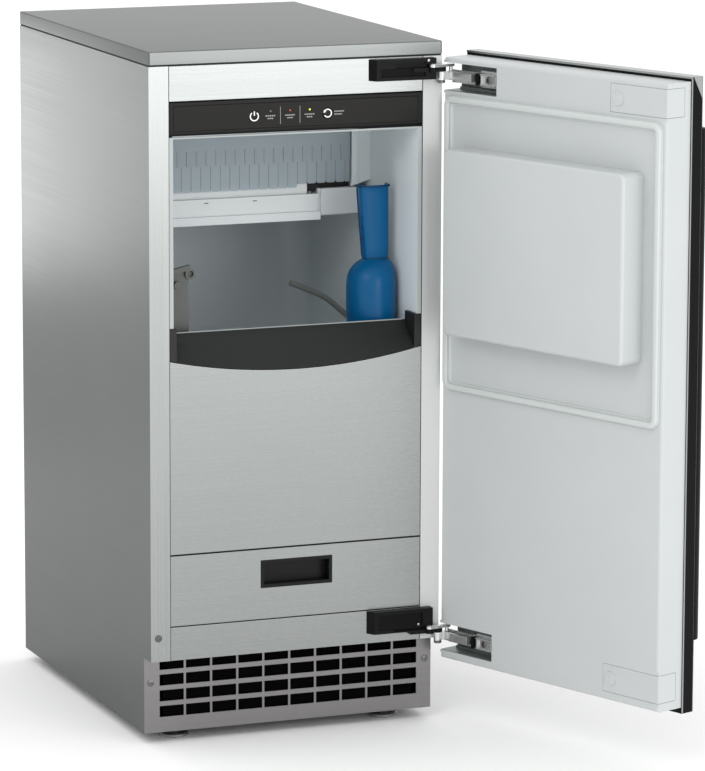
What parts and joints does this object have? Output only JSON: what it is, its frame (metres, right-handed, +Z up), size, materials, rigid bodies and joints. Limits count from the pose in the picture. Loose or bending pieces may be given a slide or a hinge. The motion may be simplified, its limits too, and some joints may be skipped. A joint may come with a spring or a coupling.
{
  "type": "undercounter ice maker",
  "caption": "Narrow stainless undercounter ice maker with a hinged insulated door, storage bin, overhead ice machine, control strip, toe-kick grille and a blue scoop.",
  "frame": {"origin": "on the floor, at the middle of the cabinet's footprint", "axes": "+Z up, +X to the right as seen from the front, +Y towards the back; the door is stored open at 111 degrees"},
  "size_m": [0.5989, 0.8581, 0.854],
  "materials": {
    "stainless": "brushed",
    "handle_black": "satin",
    "galvanised": "spangled zinc",
    "foot_zinc": "zinc plated",
    "seal_black": "satin black",
    "gasket_grey": "soft vinyl",
    "door_white": "satin",
    "bin_white": "satin",
    "foam": "rigid foam",
    "black_plastic": "satin",
    "fascia_gloss": "gloss",
    "button_grey": "satin",
    "lamp": "translucent",
    "board_green": "solder mask",
    "screw_steel": "plain",
    "hinge_black": "satin black",
    "hinge_bright": "nickel plated",
    "tinned_copper": "tinned",
    "sump_plastic": "satin",
    "curtain_clear": "translucent",
    "pump_plastic": "satin",
    "hose": "soft",
    "probe_grey": "satin",
    "scoop_blue": "glossy blue",
    "compressor_black": "gloss black",
    "fin_aluminium": "fins",
    "motor_steel": "plain",
    "valve_brass": "plain"
  },
  "bodies": {
    "cabinet": {"worktop": "stainless", "side_panel_left": "stainless", "side_panel_right": "stainless", "header_panel": "stainless", "front_panel": "stainless", "bottom_strip": "stainless", "kick_plate": "stainless", "back_panel": "galvanised", "base_pan": "galvanised", "fan_shroud": "galvanised", "top_seal": "seal_black", "bin_liner": "bin_white", "cabinet_foam": "foam", "control_housing": "black_plastic", "sill_trim": "black_plastic", "scoop_holder": "black_plastic", "wall_holder": "black_plastic", "cord_gland": "black_plastic", "control_fascia": "fascia_gloss", "indicator_lights": "lamp", "control_board": "board_green", "front_screws": "screw_steel", "hinge_bracket_upper": "hinge_black", "hinge_bracket_lower": "hinge_black", "hinge_pins": "hinge_bright", "evaporator": "tinned_copper", "evaporator_coil": "tinned_copper", "refrigerant_lines": "tinned_copper", "water_sump": "sump_plastic", "curtain_frame": "sump_plastic", "ice_slide": "sump_plastic", "spray_manifold": "sump_plastic", "water_pump": "pump_plastic", "drain_pump": "pump_plastic", "water_hoses": "hose", "bin_probe": "probe_grey", "compressor": "compressor_black", "condenser": "fin_aluminium", "fan_motor": "motor_steel", "inlet_valve": "valve_brass"},
    "door": {"door_liner": "door_white", "door_foam": "foam", "door_gasket": "gasket_grey", "door_edge_frame": "seal_black", "door_skin": "stainless", "door_handle": "handle_black", "pocket_covers": "door_white", "hinge_arms": "hinge_bright"},
    "hinge_link_pair": {"hinge_links": "hinge_bright"},
    "power_button": {"power_button": "button_grey"},
    "clean_button": {"clean_button": "button_grey"},
    "ice_curtain": {"ice_curtain": "curtain_clear"},
    "fan": {"fan_blade": "black_plastic"},
    "service_panel": {"service_panel": "stainless", "service_grip": "black_plastic"},
    "scoop": {"ice_scoop": "scoop_blue"},
    "foot_front_left": {"foot_front_left": "foot_zinc"},
    "foot_front_right": {"foot_front_right": "foot_zinc"},
    "foot_rear_left": {"foot_rear_left": "foot_zinc"},
    "foot_rear_right": {"foot_rear_right": "foot_zinc"}
  },
  "joints": [
    {"name": "door_swing", "type": "hinge", "parent": "cabinet", "child": "door", "pos_m": [0.1856, -0.2585, 0.45], "axis": [0, 0, 1], "range_deg": [-111, 0]},
    {"name": "hinge_link_turn", "type": "hinge", "parent": "cabinet", "child": "hinge_link_pair", "pos_m": [0.1726, -0.2635, 0.45], "axis": [0, 0, 1], "range_deg": [-178, 0]},
    {"name": "power_press", "type": "slide", "parent": "cabinet", "child": "power_button", "axis": [0, 1, 0], "range_m": [0, 0.0012], "stiffness_N_per_m": 600, "springref_m": -0.001},
    {"name": "clean_press", "type": "slide", "parent": "cabinet", "child": "clean_button", "axis": [0, 1, 0], "range_m": [0, 0.0012], "stiffness_N_per_m": 600, "springref_m": -0.001},
    {"name": "curtain_swing", "type": "hinge", "parent": "cabinet", "child": "ice_curtain", "pos_m": [0, -0.0925, 0.752], "axis": [-1, 0, 0], "range_deg": [0, 55]},
    {"name": "fan_spin", "type": "hinge", "parent": "cabinet", "child": "fan", "pos_m": [-0.085, -0.12, 0.099], "axis": [0, 1, 0], "continuous": true},
    {"name": "service_panel_pull", "type": "slide", "parent": "cabinet", "child": "service_panel", "axis": [0, -1, 0], "range_m": [0, 0.06]},
    {"name": "scoop_lift", "type": "slide", "parent": "cabinet", "child": "scoop", "axis": [0, 0, 1], "range_m": [0, 0.06]},
    {"name": "level_front_left", "type": "slide", "parent": "cabinet", "child": "foot_front_left", "axis": [0, 0, -1], "range_m": [0, 0.015]},
    {"name": "level_front_right", "type": "slide", "parent": "cabinet", "child": "foot_front_right", "axis": [0, 0, -1], "range_m": [0, 0.015]},
    {"name": "level_rear_left", "type": "slide", "parent": "cabinet", "child": "foot_rear_left", "axis": [0, 0, -1], "range_m": [0, 0.015]},
    {"name": "level_rear_right", "type": "slide", "parent": "cabinet", "child": "foot_rear_right", "axis": [0, 0, -1], "range_m": [0, 0.015]}
  ],
  "couplings": [
    {"joint": "hinge_link_turn", "follows": "door_swing", "ratio": 1.6}
  ]
}
